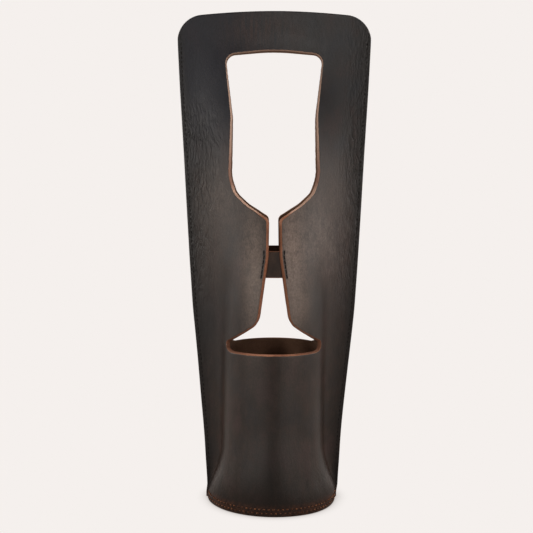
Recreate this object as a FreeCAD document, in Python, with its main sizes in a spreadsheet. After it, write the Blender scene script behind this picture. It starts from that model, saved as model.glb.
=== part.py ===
"""Leather carrier for one bottle: two cut-out panels sewn along both sides and round a recessed base.

Millimetres. Origin at the middle of the standing ring, +Z up, the front panel towards -Y.
"""
import FreeCAD, Part
import math
import os

doc = FreeCAD.newDocument("bottle_carrier")
sheet = doc.addObject("Spreadsheet::Sheet", "Sizes")

SIZES = {
    # Overall form of the sewn body
    "carrier_height": 376,
    "mouth_width": 147.2,
    "mouth_gap": 7,
    "base_diameter": 102,
    "pocket_bore": 77,
    "leather_thickness": 3,
    "band_height": 9,
    "draw_in_height": 60,
    "shoulder_height": 150,
    "seam_flange": 4.5,
    "base_flange": 1.2,
    "top_arch_radius": 620,
    "top_corner_radius": 20,
    # Wine-glass cut-out, as drops from one corner of its outline to the next
    "handle_depth": 29.6,
    "hole_arch_drop": 3.8,
    "hole_side_drop": 46.6,
    "waist_drop": 51.1,
    "bowl_drop": 15,
    "bowl_floor_drop": 6.7,
    "stem_length": 28.2,
    "flare_length": 52.2,
    "throat_drop": 16.4,
    "foot_edge_drop": 7.1,
    # Widths across the cut-out at those corners
    "hole_width": 76.2,
    "waist_width": 62.8,
    "bowl_width": 65.4,
    "bowl_floor_width": 33.2,
    "stem_width": 6.6,
    "throat_width": 24.4,
    "foot_width": 72.6,
    "sill_width": 71.2,
    # Rounding of those corners
    "hole_apex_radius": 150,
    "hole_corner_radius": 8,
    "waist_radius": 80,
    "bowl_radius": 16,
    "bowl_floor_radius": 40,
    "stem_mouth_radius": 5,
    "stem_neck_radius": 60,
    "throat_radius": 14,
    "foot_edge_radius": 3,
    "sill_radius": 3.5,
    # Base with its rim turned down inside the wall
    "rim_height": 9,
    "base_thickness": 3,
    "base_clearance": 0.2,
    # Bridge strap behind the stem
    "strap_height": 19.8,
    "strap_length": 28,
    "strap_thickness": 2,
    "strap_drop": 8.5,
    "strap_clearance": 0.1,
    # Thread
    "thread_diameter": 0.8,
    "stitch_pitch": 3.4,
    "stitch_length": 2.6,
    "seam_inset": 2.6,
    "strap_stitch_inset": 3.5,
    "strap_stitch_margin": 1.6,
    "base_row_low": 2.1,
    "base_row_gap": 3.3,
    "thread_seat": 0.05,
    # Overrun of every cutting prism past the leather
    "overrun": 5,
}

for row, (alias, value) in enumerate(SIZES.items(), start=1):
    sheet.set(f"A{row}", alias)
    sheet.set(f"B{row}", str(value))
    sheet.setAlias(f"B{row}", alias)
doc.recompute()


def size(alias):
    """Value of one driving dimension."""
    return float(sheet.get(alias))


# Key rows up the wall, zone by zone: share of the zone's height, of the widening from base to mouth,
# of the drawing in from base to pocket, of the flattening from pocket to mouth, of the growth of the
# seam flange, and of the crown arc in the S curve of the section.
FLARE_SHARES = (
    (0.00, 0.000, 0.000, 0.000, 0.00, 0.980),
    (0.16, 0.031, 0.126, 0.000, 0.30, 0.925),
    (0.35, 0.062, 0.250, 0.000, 0.60, 0.854),
    (0.53, 0.084, 0.360, 0.000, 0.82, 0.808),
    (0.71, 0.102, 0.440, 0.000, 0.94, 0.786),
)
POCKET_SHARES = (
    (0.00, 0.150, 0.570, 0.000, 1.00, 0.770),
    (0.50, 0.332, 0.853, 0.000, 1.00, 0.711),
)
SHOULDER_SHARES = (
    (0.00, 0.527, 1.000, 0.000, 1.00, 0.658),
    (0.16, 0.624, 1.000, 0.095, 1.00, 0.640),
    (0.33, 0.712, 1.000, 0.277, 1.00, 0.600),
    (0.53, 0.810, 1.000, 0.486, 1.00, 0.580),
    (0.75, 0.929, 1.000, 0.785, 1.00, 0.560),
    (0.90, 0.995, 1.000, 0.945, 1.00, 0.554),
    (1.00, 1.000, 1.000, 1.000, 1.00, 0.550),
)
STATION_COUNT = 24

THICKNESS = size("leather_thickness")
HEIGHT = size("carrier_height")
BASE_RADIUS = size("base_diameter") / 2
MOUTH_HALF = size("mouth_width") / 2
POCKET_DEPTH = size("pocket_bore") / 2 + THICKNESS
MOUTH_DEPTH = size("mouth_gap") / 2 + THICKNESS


def between(low, high, share):
    """Value a share of the way from low to high."""
    return low + (high - low) * share


class Station:
    """Cross-section of the front panel at one height: a crown arc, two hollow arcs and two flat flanges."""

    def __init__(self, level, half_width, depth, flange, crown_share):
        self.level = level
        self.half_width = half_width
        self.depth = depth
        self.flange_start = half_width - flange
        rise = depth - THICKNESS
        self.turn = 2 * math.atan2(rise, self.flange_start)
        both_radii = self.flange_start / math.sin(self.turn)
        self.crown = both_radii * crown_share
        self.hollow = both_radii - self.crown

    def point(self, x, y):
        return FreeCAD.Vector(x, y, self.level)

    def hollow_point(self, side, angle, skin):
        """Point of the hollow arc beside a flange, a skin's depth below the outer face."""
        reach = self.hollow + skin
        x = self.flange_start - reach * math.sin(angle)
        y = -THICKNESS - self.hollow + reach * math.cos(angle)
        return self.point(side * x, y)

    def crown_point(self, angle, skin):
        """Point of the crown arc, by its angle from the front."""
        reach = self.crown - skin
        return self.point(reach * math.sin(angle), self.crown - self.depth - reach * math.cos(angle))

    def face_at(self, x):
        """Place on the crown's outer face at a distance from the middle."""
        return self.crown_point(math.asin(x / self.crown), 0)

    def face_edges(self, skin):
        """Edges from the right-hand seam to the left-hand one, a skin's depth below the outer face."""
        flange_y = skin - THICKNESS
        half_turn = self.turn / 2
        right = [self.hollow_point(1, angle, skin) for angle in (0, half_turn, self.turn)]
        left = [self.hollow_point(-1, angle, skin) for angle in (self.turn, half_turn, 0)]
        return [
            Part.LineSegment(self.point(self.half_width, flange_y), right[0]).toShape(),
            Part.Arc(*right).toShape(),
            Part.Arc(right[-1], self.crown_point(0, skin), left[0]).toShape(),
            Part.Arc(*left).toShape(),
            Part.LineSegment(left[-1], self.point(-self.half_width, flange_y)).toShape(),
        ]

    def layer(self, outer_skin, inner_skin):
        """Closed outline of the layer between two depths below the outer face."""
        outer = self.face_edges(outer_skin)
        inner = self.face_edges(inner_skin)
        closing = []
        for side in (1, -1):
            start = self.point(side * self.half_width, outer_skin - THICKNESS)
            end = self.point(side * self.half_width, inner_skin - THICKNESS)
            closing.append(Part.LineSegment(start, end).toShape())
        return Part.Wire(Part.__sortEdges__(outer + inner + closing))


def key_rows():
    """Key rows of the wall: level, half width, depth, flange and share of the crown."""
    band, draw_in, shoulder = size("band_height"), size("draw_in_height"), size("shoulder_height")
    zones = (
        (band, draw_in, FLARE_SHARES),
        (draw_in, shoulder, POCKET_SHARES),
        (shoulder, HEIGHT, SHOULDER_SHARES),
    )
    rows = []
    for low, high, shares in zones:
        for rise, widening, drawing, flattening, growth, crown in shares:
            half_width = between(BASE_RADIUS, MOUTH_HALF, widening)
            drawn = between(BASE_RADIUS, POCKET_DEPTH, drawing)
            depth = between(drawn, MOUTH_DEPTH, flattening)
            flange = between(size("base_flange"), size("seam_flange"), growth)
            rows.append((between(low, high, rise), half_width, depth, flange, crown))
    return rows


def row_slope(levels, values, index):
    """Slope at a key row that never makes the curve overshoot its rows."""
    if index in (0, len(levels) - 1):
        near = max(index, 1)
        return (values[near] - values[near - 1]) / (levels[near] - levels[near - 1])
    before, after = levels[index] - levels[index - 1], levels[index + 1] - levels[index]
    slope_before = (values[index] - values[index - 1]) / before
    slope_after = (values[index + 1] - values[index]) / after
    if slope_before * slope_after <= 0:
        return 0
    return (before + after) / (after / slope_before + before / slope_after)


def smooth(levels, values, level):
    """Smooth value at a level between key rows."""
    index = max(i for i in range(len(levels) - 1) if levels[i] <= level)
    span = levels[index + 1] - levels[index]
    share = (level - levels[index]) / span
    start, end = values[index], values[index + 1]
    leave = row_slope(levels, values, index) * span
    arrive = row_slope(levels, values, index + 1) * span
    eased = share * share * (3 - 2 * share)
    bow = share * (1 - share)
    return between(start, end, eased) + bow * (leave * (1 - share) - arrive * share)


KEY_COLUMNS = list(zip(*key_rows()))


def station_at(level):
    """Section of the wall at any height above the band."""
    levels = KEY_COLUMNS[0]
    return Station(level, *(smooth(levels, column, level) for column in KEY_COLUMNS[1:]))


def make_stations():
    """Evenly spaced sections of the wall from the top of the band to the mouth."""
    shares = [index / (STATION_COUNT - 1) for index in range(STATION_COUNT)]
    return [station_at(between(size("band_height"), HEIGHT, share)) for share in shares]


STATIONS = make_stations()
BASE_STATION = STATIONS[0]


def feature(kind, name, **values):
    """Document object with its properties set."""
    item = doc.addObject(kind, name)
    for key, value in values.items():
        setattr(item, key, value)
    return item


def shaped(name, shape):
    """Document object that holds a given shape."""
    return feature("Part::Feature", name, Shape=shape)


def layer_loft(name, outer_skin, inner_skin):
    """Solid that runs up the wall between two depths below the outer face."""
    sections = []
    for index, station in enumerate(STATIONS):
        sections.append(shaped(f"{name}_section_{index}", station.layer(outer_skin, inner_skin)))
    return feature("Part::Loft", f"{name}_loft", Sections=sections, Solid=True, Ruled=False)


def extruded(name, base, direction, length):
    """Prism on a profile, its length bound to a formula of the sheet."""
    prism = feature("Part::Extrusion", name, Base=base, DirMode="Custom", Dir=direction, Solid=True)
    prism.setExpression("LengthFwd", length)
    return prism


def rounded_outline(corners, at_y):
    """Closed wire on an XZ plane from corners (x, z, radius), each radius kept to its two runs."""
    count = len(corners)
    places = [FreeCAD.Vector(x, at_y, z) for x, z, radius in corners]
    cuts = []
    for index, (x, z, radius) in enumerate(corners):
        here = places[index]
        back = places[index - 1] - here
        ahead = places[(index + 1) % count] - here
        half_angle = back.getAngle(ahead) / 2
        reach = min(radius / math.tan(half_angle), back.Length / 2, ahead.Length / 2)
        back.normalize()
        ahead.normalize()
        start = here + back * reach
        end = here + ahead * reach
        bisector = (back + ahead).normalize()
        arc_radius = reach * math.tan(half_angle)
        middle = here + bisector * (arc_radius / math.sin(half_angle) - arc_radius)
        cuts.append((start, middle, end))
    edges = []
    for index, (start, middle, end) in enumerate(cuts):
        edges.append(Part.Arc(start, middle, end).toShape())
        following = cuts[(index + 1) % count][0]
        if end.distanceToPoint(following) > Part.Precision.confusion() * count:
            edges.append(Part.LineSegment(end, following).toShape())
    return Part.Wire(edges)


def glass_corners():
    """Right-hand corners of the wine-glass cut-out from its top down: half width, height, radius.

    Each corner goes by the drop that leads down to it.
    """
    steps = (
        ("handle_depth", None, "hole_apex_radius"),
        ("hole_arch_drop", "hole_width", "hole_corner_radius"),
        ("hole_side_drop", "waist_width", "waist_radius"),
        ("waist_drop", "bowl_width", "bowl_radius"),
        ("bowl_drop", "bowl_floor_width", "bowl_floor_radius"),
        ("bowl_floor_drop", "stem_width", "stem_mouth_radius"),
        ("stem_length", "stem_width", "stem_neck_radius"),
        ("flare_length", "throat_width", "throat_radius"),
        ("throat_drop", "foot_width", "foot_edge_radius"),
        ("foot_edge_drop", "sill_width", "sill_radius"),
    )
    level = HEIGHT
    corners = {}
    for drop, width, radius in steps:
        level -= size(drop)
        half = size(width) / 2 if width else 0
        corners[drop] = (half, level, size(radius))
    return corners


GLASS = glass_corners()
NECK_HALF, NECK_LEVEL, _ = GLASS["stem_length"]
THROAT_HALF, THROAT_LEVEL, _ = GLASS["flare_length"]
STRAP_LEVEL = NECK_LEVEL - size("strap_drop")
CUT_START = -(BASE_RADIUS + size("overrun"))


def glass_outline():
    """Whole outline of the cut-out, both sides of its top corner."""
    apex, *right = GLASS.values()
    left = [(-x, z, radius) for x, z, radius in reversed(right)]
    return rounded_outline([apex, *right, *left], CUT_START)


def top_outline():
    """Outline of a panel seen from the front: arched top with round corners, open-sided below."""
    half, arch, corner = MOUTH_HALF, size("top_arch_radius"), size("top_corner_radius")
    arch_centre = HEIGHT - arch
    corner_x = half - corner
    corner_z = arch_centre + math.sqrt((arch - corner) ** 2 - corner_x ** 2)
    slope = math.atan2(corner_x, corner_z - arch_centre)

    def place(x, z):
        return FreeCAD.Vector(x, CUT_START, z)

    def on_corner(side, angle):
        return place(side * (corner_x + corner * math.sin(angle)), corner_z + corner * math.cos(angle))

    bends = (slope, (slope + math.pi / 2) / 2, math.pi / 2)
    right = [on_corner(1, angle) for angle in bends]
    left = [on_corner(-1, angle) for angle in reversed(bends)]
    foot = -size("overrun")
    low_right, low_left = place(half, foot), place(-half, foot)
    return Part.Wire([
        Part.Arc(left[-1], place(0, HEIGHT), right[0]).toShape(),
        Part.Arc(*right).toShape(),
        Part.LineSegment(right[-1], low_right).toShape(),
        Part.LineSegment(low_right, low_left).toShape(),
        Part.LineSegment(low_left, left[0]).toShape(),
        Part.Arc(*left).toShape(),
    ])


def front_half(name, outline):
    """Prism that runs from before the front panel to behind the seam plane."""
    profile = shaped(f"{name}_outline", outline)
    length = "Sizes.base_diameter / 2 + 2 * Sizes.overrun"
    return extruded(name, profile, FreeCAD.Vector(0, 1, 0), length)


def make_panels():
    """Front panel from the wall, the band round the base and the cuts, and its mirror image behind."""
    wall = layer_loft("panel", 0, THICKNESS)
    band = extruded("panel_band", wall.Sections[0], FreeCAD.Vector(0, 0, -1), "Sizes.band_height")
    whole = feature("Part::Fuse", "panel_whole", Base=wall, Tool=band)
    topped = feature("Part::Common", "panel_topped", Base=whole, Tool=front_half("panel_top", top_outline()))
    glass = front_half("panel_glass", glass_outline())
    front = feature("Part::Cut", "front_panel", Base=topped, Tool=glass)
    back = feature("Part::Mirroring", "back_panel", Source=front, Normal=FreeCAD.Vector(0, 1, 0))
    return front, back


def obround(reach, level):
    """Closed outline that follows both crown arcs of the band at a given radius."""
    shift = BASE_STATION.depth - BASE_STATION.crown

    def place(x, y):
        return FreeCAD.Vector(x, y, level)

    return Part.Wire([
        Part.Arc(place(reach, -shift), place(0, -shift - reach), place(-reach, -shift)).toShape(),
        Part.LineSegment(place(-reach, -shift), place(-reach, shift)).toShape(),
        Part.Arc(place(-reach, shift), place(0, shift + reach), place(reach, shift)).toShape(),
        Part.LineSegment(place(reach, shift), place(reach, -shift)).toShape(),
    ])


def make_base():
    """Round bottom with its rim turned down inside the band."""
    reach = BASE_STATION.crown - THICKNESS - size("base_clearance")
    up = FreeCAD.Vector(0, 0, 1)
    outer = extruded("base_block", shaped("base_outline", obround(reach, 0)), up, "Sizes.rim_height")
    hollow_profile = shaped("base_hollow_outline", obround(reach - size("base_thickness"), 0))
    hollow = extruded("base_hollow", hollow_profile, up, "Sizes.rim_height - Sizes.base_thickness")
    pan = feature("Part::Cut", "base_pan", Base=outer, Tool=hollow)
    doc.recompute()
    rim_top = size("rim_height")
    bend = size("base_thickness")
    bends = []
    for index, edge in enumerate(pan.Shape.Edges, start=1):
        if edge.BoundBox.ZMin > rim_top - bend / 2:
            bends.append((index, bend, bend))
    base = feature("Part::Fillet", "base", Base=pan)
    base.Edges = bends
    return base


def make_straps():
    """Bridge straps that follow the inner face of each panel behind the stem."""
    start = THICKNESS + size("strap_clearance")
    layer = layer_loft("strap", start, start + size("strap_thickness"))
    window = doc.addObject("Part::Box", "strap_window")
    window.setExpression("Length", "Sizes.strap_length")
    window.setExpression("Width", "Sizes.base_diameter / 2")
    window.setExpression("Height", "Sizes.strap_height")
    window.setExpression("Placement.Base.x", "-Sizes.strap_length / 2")
    window.setExpression("Placement.Base.y", "-Sizes.base_diameter / 2")
    window.Placement.Base.z = STRAP_LEVEL - size("strap_height") / 2
    front = feature("Part::Common", "front_bridge_strap", Base=layer, Tool=window)
    back = feature("Part::Mirroring", "back_bridge_strap", Source=front, Normal=FreeCAD.Vector(0, 1, 0))
    return front, back


def stitch(middle, along, outward):
    """One stitch: a short round of thread that lies on the leather."""
    radius = size("thread_diameter") / 2
    length = size("stitch_length")
    seat = middle + outward * (radius + size("thread_seat")) - along * (length / 2)
    return Part.makeCylinder(radius, length, seat, along)


def row_places(start, end):
    """Evenly spaced places for stitches from start to end, near the pitch."""
    count = max(round(abs(end - start) / size("stitch_pitch")), 1)
    return [between(start, end, (index + 0.5) / count) for index in range(count)]


def base_row(level):
    """Stitches of one row round the band, on both panels."""
    stitches = []
    shift = BASE_STATION.depth - BASE_STATION.crown
    reach = BASE_STATION.crown
    sweep = BASE_STATION.turn * reach
    for facing in (-1, 1):
        for arc in row_places(-sweep, sweep):
            angle = arc / reach
            outward = FreeCAD.Vector(math.sin(angle), facing * math.cos(angle), 0)
            along = FreeCAD.Vector(math.cos(angle), -facing * math.sin(angle), 0)
            middle = outward * reach + FreeCAD.Vector(0, facing * shift, level)
            stitches.append(stitch(middle, along, outward))
    return Part.makeCompound(stitches)


def seam_row(side):
    """Stitches up one side seam, on the front and the back flange."""
    start = size("draw_in_height") / 2
    end = HEIGHT - size("top_corner_radius") - size("seam_inset")
    stitches = []
    for level in row_places(start, end):
        step = size("stitch_length") / 2
        low = station_at(level - step).half_width
        high = station_at(level + step).half_width
        x = side * ((low + high) / 2 - size("seam_inset"))
        along = FreeCAD.Vector(side * (high - low), 0, 2 * step).normalize()
        for facing in (-1, 1):
            outward = FreeCAD.Vector(0, facing, 0)
            stitches.append(stitch(FreeCAD.Vector(x, facing * THICKNESS, level), along, outward))
    return Part.makeCompound(stitches)


def slit_half(level):
    """Half width of the stem slit at a height between its neck and its throat."""
    share = max((NECK_LEVEL - level) / (NECK_LEVEL - THROAT_LEVEL), 0)
    return between(NECK_HALF, THROAT_HALF, share)


def strap_row(side):
    """Stitches beside the stem that hold the front strap."""
    reach = size("strap_height") / 2 - size("strap_stitch_margin")
    step = size("stitch_length") / 2
    stitches = []
    for level in row_places(STRAP_LEVEL - reach, STRAP_LEVEL + reach):
        ends = []
        for height in (level - step, level + step):
            x = side * (slit_half(height) + size("strap_stitch_inset"))
            ends.append(station_at(height).face_at(x))
        middle = (ends[0] + ends[1]) / 2
        section = station_at(middle.z)
        across = section.face_at(middle.x + step) - section.face_at(middle.x - step)
        along = (ends[1] - ends[0]).normalize()
        outward = across.cross(along).normalize()
        stitches.append(stitch(middle, along, outward))
    return Part.makeCompound(stitches)


def make_threads():
    """Every row of thread as a group of stitches."""
    low = size("base_row_low")
    threads = [
        shaped("base_thread_lower", base_row(low)),
        shaped("base_thread_upper", base_row(low + size("base_row_gap"))),
    ]
    for word, side in (("left", -1), ("right", 1)):
        threads.append(shaped(f"{word}_seam_thread", seam_row(side)))
        row = shaped(f"front_strap_thread_{word}", strap_row(side))
        threads.append(row)
        normal = FreeCAD.Vector(0, 1, 0)
        threads.append(feature("Part::Mirroring", f"back_strap_thread_{word}", Source=row, Normal=normal))
    return threads


front_panel, back_panel = make_panels()
base = make_base()
straps = make_straps()
doc.recompute()
threads = make_threads()
doc.recompute()

for item in doc.Objects:
    if {"Invalid", "Error"} & set(item.State):
        raise RuntimeError(f"{item.Name} failed: {item.State}")

pieces = [front_panel, back_panel, base, *straps, *threads]
for piece in pieces:
    if piece.Shape.isNull() or not piece.Shape.isValid():
        raise RuntimeError(f"{piece.Label} has no valid shape")

os.makedirs("parts", exist_ok=True)
for piece in pieces:
    piece.Shape.exportStep(f"parts/{piece.Label}.step")
    box = piece.Shape.BoundBox
    print(f"{piece.Label}: {len(piece.Shape.Solids)} solids, {piece.Shape.Volume:.0f} mm3, {box}")
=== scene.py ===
"""Looks of the sewn leather bottle carrier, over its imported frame.

Sizes of the shapes are millimetres, as in the part's source. Finishes, lights and the camera are in metres,
and so is every mesh, in the row frame.
"""

import math
import random

import bmesh
import bpy
import numpy as np
from mathutils import Matrix, Vector, geometry, kdtree, noise


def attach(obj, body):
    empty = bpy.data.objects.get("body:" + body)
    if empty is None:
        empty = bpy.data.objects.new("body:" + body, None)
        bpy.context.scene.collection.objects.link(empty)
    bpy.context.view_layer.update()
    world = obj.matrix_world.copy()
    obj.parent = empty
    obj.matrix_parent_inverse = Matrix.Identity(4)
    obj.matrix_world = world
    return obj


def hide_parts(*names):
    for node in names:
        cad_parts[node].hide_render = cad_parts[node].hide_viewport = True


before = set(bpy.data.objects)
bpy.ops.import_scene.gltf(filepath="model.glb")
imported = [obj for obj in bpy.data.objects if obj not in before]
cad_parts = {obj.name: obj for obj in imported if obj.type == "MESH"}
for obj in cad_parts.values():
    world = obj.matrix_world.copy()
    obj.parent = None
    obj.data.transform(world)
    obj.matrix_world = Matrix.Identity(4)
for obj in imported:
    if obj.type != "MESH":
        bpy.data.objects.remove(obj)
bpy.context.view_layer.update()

MM = 0.001
FRONT, BACK = -1, 1

# Thickness of the leather, height of the carrier, and half the sheet's width in its own coordinate
THICK = 3.0
TOP = 376.0
HALF = 75.0

# Height, half width, depth, seam flange and crown share of the wall's section
WALL = np.array((
    (7.0, 51.3, 51.5, 0.5, 0.990),
    (17.2, 51.7, 50.9, 1.9, 0.930),
    (26.9, 52.4, 49.7, 3.2, 0.854),
    (36.0, 52.9, 48.4, 3.9, 0.808),
    (45.2, 53.3, 47.3, 4.3, 0.786),
    (60.0, 54.4, 45.6, 4.5, 0.770),
    (105.0, 58.5, 42.9, 4.5, 0.711),
    (150.0, 62.9, 41.5, 4.5, 0.658),
    (186.2, 65.1, 38.2, 4.5, 0.640),
    (224.6, 67.1, 31.8, 4.5, 0.600),
    (269.8, 69.3, 24.5, 4.5, 0.580),
    (319.5, 72.0, 12.8, 4.5, 0.560),
    (353.4, 73.5, 6.9, 4.5, 0.554),
    (376.0, 73.6, 6.2, 4.5, 0.550),
    (400.0, 73.6, 5.6, 4.5, 0.546),
))

# Height, and the length over which the wall's bends run into each other
SOFT = np.array(((0, 0.4), (30, 0.5), (60, 1.2), (110, 2.5), (170, 9.0), (230, 13.0), (400, 13.0)))

# Slit: half width and height at its neck, and where it opens to the foot window
NECK_HALF, NECK_Z = 4.05, 192.0
THROAT_HALF, THROAT_Z = 10.75, 143.2
SLIT_FLARE = (THROAT_HALF - NECK_HALF) / (NECK_Z - THROAT_Z)

# Right-hand corners of the wine-glass cut-out from its top down: half width, height, radius
GLASS = (
    (0.0, 347.1, 150.0),
    (37.1, 343.5, 7.0),
    (32.45, 296.8, 60.0),
    (34.1, 251.2, 34.0),
    (29.95, 238.8, 16.0),
    (20.4, 229.9, 30.0),
    (3.6, 219.8, 5.0),
    (NECK_HALF, NECK_Z, 50.0),
    (THROAT_HALF, THROAT_Z, 14.0),
    (35.5, 126.6, 3.0),
    (34.9, 120.0, 3.5),
)

# Radii of the arched top and its corners
TOP_ARCH = 620.0
TOP_CORNER = 20.0

# Bridge strap, and the places of the stitches that hold it and the seams
STRAP_LOW, STRAP_HIGH, STRAP_HALF = 176.6, 196.4, 14.0
STRAP_SEAT, STRAP_THICK = 3.1, 2.0
STRAP_ROW_INSET = 3.5
SEAM_INSET = 2.6
PITCH = 3.4


def bell_weights(width, reach):
    """Weights of a smoothing bell, over a reach of steps to either side."""
    weights = np.exp(-0.5 * (np.arange(-reach, reach + 1) / width) ** 2)
    return weights / weights.sum()


LEVELS = np.arange(-30.0, 410.0, 0.25)
EASE_WIDTH, EASE_REACH = 22.0, 80


def eased_column(values):
    """One column of the wall's table, at quarter millimetres, with its corners bent soft."""
    line = np.pad(np.interp(LEVELS, WALL[:, 0], values), EASE_REACH, mode="edge")
    return np.convolve(line, bell_weights(EASE_WIDTH, EASE_REACH), mode="valid")


COLUMNS = [eased_column(WALL[:, index]) for index in range(1, 5)]


def section(z):
    """Curves of the wall at heights z: flat reach, depth, flange, turn, crown radius and hollow radius."""
    half_width, depth, flange, share = (np.interp(z, LEVELS, column) for column in COLUMNS)
    flat = half_width - flange
    turn = 2 * np.arctan2(depth - THICK, flat)
    both = flat / np.sin(turn)
    return flat, depth, flange, turn, both * share, both * (1 - share)


def ramp(values, low, high):
    """Smooth step from 0 at low to 1 at high."""
    share = np.clip((values - low) / (high - low), 0, 1)
    return share * share * (3 - 2 * share)


HEIGHTS = np.arange(-14.0, 406.0)
SHARES = np.linspace(0, 1, 481)
FIT_ROUNDS, FIT_PULL = 24, 0.7


def wall_curves():
    """Outer face of the wall on a grid of heights and shares of the half sheet: x, y, slope and length."""
    flat, depth, flange, turn, crown, hollow = (column[:, None] for column in section(HEIGHTS))
    length = (crown + hollow) * turn + flange
    run = SHARES * length
    beyond = run - crown * turn
    slope = np.where(beyond < 0, run / crown, np.clip(turn - beyond / hollow, 0, turn))
    last = len(SHARES) - 1
    for row, z in enumerate(HEIGHTS):
        width = np.interp(z, SOFT[:, 0], SOFT[:, 1]) / length[row, 0] * last
        reach = int(3 * width) + 1
        line = slope[row]
        line = np.concatenate((-line[reach:0:-1], line, -line[-2:-reach - 2:-1]))
        slope[row] = np.convolve(line, bell_weights(width, reach), mode="valid")
    for _ in range(FIT_ROUNDS):
        across_it, out = (np.cumsum((f[:, 1:] + f[:, :-1]) / 2, axis=1) * length / last
                          for f in (np.cos(slope), np.sin(slope)))
        length *= (flat + flange) / across_it[:, -1:]
        slope *= ((depth - THICK) / out[:, -1:]) ** FIT_PULL
    start = np.zeros_like(length)
    return np.hstack((start, across_it)), np.hstack((start, out)) - depth, slope, length[:, 0]


CURVES = wall_curves()

# Sideways lean: amount, heights over which it comes in, and the shares of the half sheet where it acts
FOOT_LEAN, FOOT_HEIGHTS, FOOT_SHARES = 1.2, (30, 6), (0.6, 0.1)
HEEL_LEAN, HEEL_HEIGHTS, HEEL_SHARES = 0.9, (11, 3), (0.5, 1.0)
TOE_LEAN, TOE_HEIGHTS, TOE_SHARE, TOE_SPREAD = 1.4, (24, 4), 0.42, 0.26
POCKET_LEAN, POCKET_HEIGHTS = 0.7, (140, 60)


def lean(z, share):
    """Small sideways lean of the foot, as it was sewn: share is 0 at the front, -1 and 1 at the seams."""
    foot = FOOT_LEAN * ramp(z, *FOOT_HEIGHTS) * ramp(np.abs(share), *FOOT_SHARES)
    heel = HEEL_LEAN * ramp(z, *HEEL_HEIGHTS) * ramp(np.abs(share), *HEEL_SHARES)
    toe = TOE_LEAN * ramp(z, *TOE_HEIGHTS) * np.exp(-((share - TOE_SHARE) / TOE_SPREAD) ** 2)
    return foot - heel + toe - POCKET_LEAN * ramp(z, *POCKET_HEIGHTS)


def wall_point(q, z, skin):
    """Places of the front panel: q across the flat sheet, z up, skin below the outer face."""
    q, z = np.broadcast_arrays(q, z)
    share = np.clip(np.abs(q) / HALF, 0, 1)
    row = z - HEIGHTS[0]
    column = share * (len(SHARES) - 1)
    low = np.minimum(row.astype(int), len(HEIGHTS) - 2)
    left = np.minimum(column.astype(int), len(SHARES) - 2)
    up, right = row - low, column - left
    x, y, slope = ((grid[low, left] * (1 - right) + grid[low, left + 1] * right) * (1 - up)
                   + (grid[low + 1, left] * (1 - right) + grid[low + 1, left + 1] * right) * up
                   for grid in CURVES[:3])
    x = np.sign(q) * (x - skin * np.sin(slope)) + lean(z, np.sign(q) * share)
    return np.stack((x, y + skin * np.cos(slope), z * np.ones_like(x)), axis=-1)


def across(x, z, skin):
    """Sheet coordinate q of a place seen at x, at a skin's depth."""
    found = [np.interp(abs(a), wall_point(SHARES * HALF, b, skin)[:, 0], SHARES * HALF)
             for a, b in zip(np.ravel(x), np.ravel(z))]
    return np.sign(x) * np.reshape(found, np.shape(x))


def sheet_length(z):
    """Half girth of a panel at heights z."""
    return np.interp(z, HEIGHTS, CURVES[3])


def resampled(points, step):
    """Closed outline with points about a step apart."""
    closed = np.vstack((points, points[:1]))
    lengths = np.concatenate(([0], np.cumsum(np.linalg.norm(np.diff(closed, axis=0), axis=1))))
    count = round(lengths[-1] / step)
    marks = np.arange(count) * lengths[-1] / count
    return np.stack([np.interp(marks, lengths, closed[:, axis]) for axis in (0, 1)], axis=-1)


CORNER_POINTS = 24


def rounded(corners):
    """Closed outline through rounded corners (x, z, radius)."""
    places = [Vector((x, z)) for x, z, _ in corners]
    outline = []
    for index, here in enumerate(places):
        back = places[index - 1] - here
        ahead = places[(index + 1) % len(places)] - here
        half = back.angle(ahead) / 2
        reach = min(corners[index][2] / math.tan(half), back.length / 2, ahead.length / 2)
        radius = reach * math.tan(half)
        start, end = here + back.normalized() * reach, here + ahead.normalized() * reach
        centre = here + (back.normalized() + ahead.normalized()).normalized() * (radius / math.sin(half))
        first = math.atan2(start.y - centre.y, start.x - centre.x)
        sweep = math.atan2(end.y - centre.y, end.x - centre.x) - first
        sweep = (sweep + math.pi) % (2 * math.pi) - math.pi
        for share in np.linspace(0, 1, CORNER_POINTS):
            angle = first + sweep * share
            outline.append((centre.x + radius * math.cos(angle), centre.y + radius * math.sin(angle)))
    return np.array(outline)


def inward_normals(loop, into):
    """Unit normals of a closed outline; into is 1 for the side inside it and -1 for the other."""
    along = np.roll(loop, -1, axis=0) - np.roll(loop, 1, axis=0)
    normals = np.stack((-along[:, 1], along[:, 0]), axis=-1)
    following = np.roll(loop, -1, axis=0)
    area = np.sum(loop[:, 0] * following[:, 1] - following[:, 0] * loop[:, 1])
    return into * np.sign(area) * normals / np.linalg.norm(normals, axis=1)[:, None]


def inside(points, loop):
    """Which points lie inside a closed outline."""
    result = np.zeros(len(points), bool)
    for start, end in zip(loop, np.roll(loop, -1, axis=0)):
        if start[1] == end[1]:
            continue
        spans = (start[1] > points[:, 1]) != (end[1] > points[:, 1])
        crossing = start[0] + (points[:, 1] - start[1]) * (end[0] - start[0]) / (end[1] - start[1])
        result ^= spans & (points[:, 0] < crossing)
    return result


def on_sheet(points, loops):
    """Which points lie inside the first outline and outside the others."""
    result = inside(points, loops[0])
    for loop in loops[1:]:
        result &= ~inside(points, loop)
    return result


# Swells of the sheet: height, width and tallness of a cell, and seed
SWELLS = ((0.30, 34, 60, 0), (0.10, 15, 34, 7))

# Where the seams and the base hold the swells down, and the bulge of the leather beside the slit
SEAM_HOLD, BASE_HOLD = (68, 50), (14, 50)
BULGE, BULGE_Q, BULGE_WIDE, BULGE_Z, BULGE_TALL = 0.7, 21, 10, 172, 20

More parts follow.
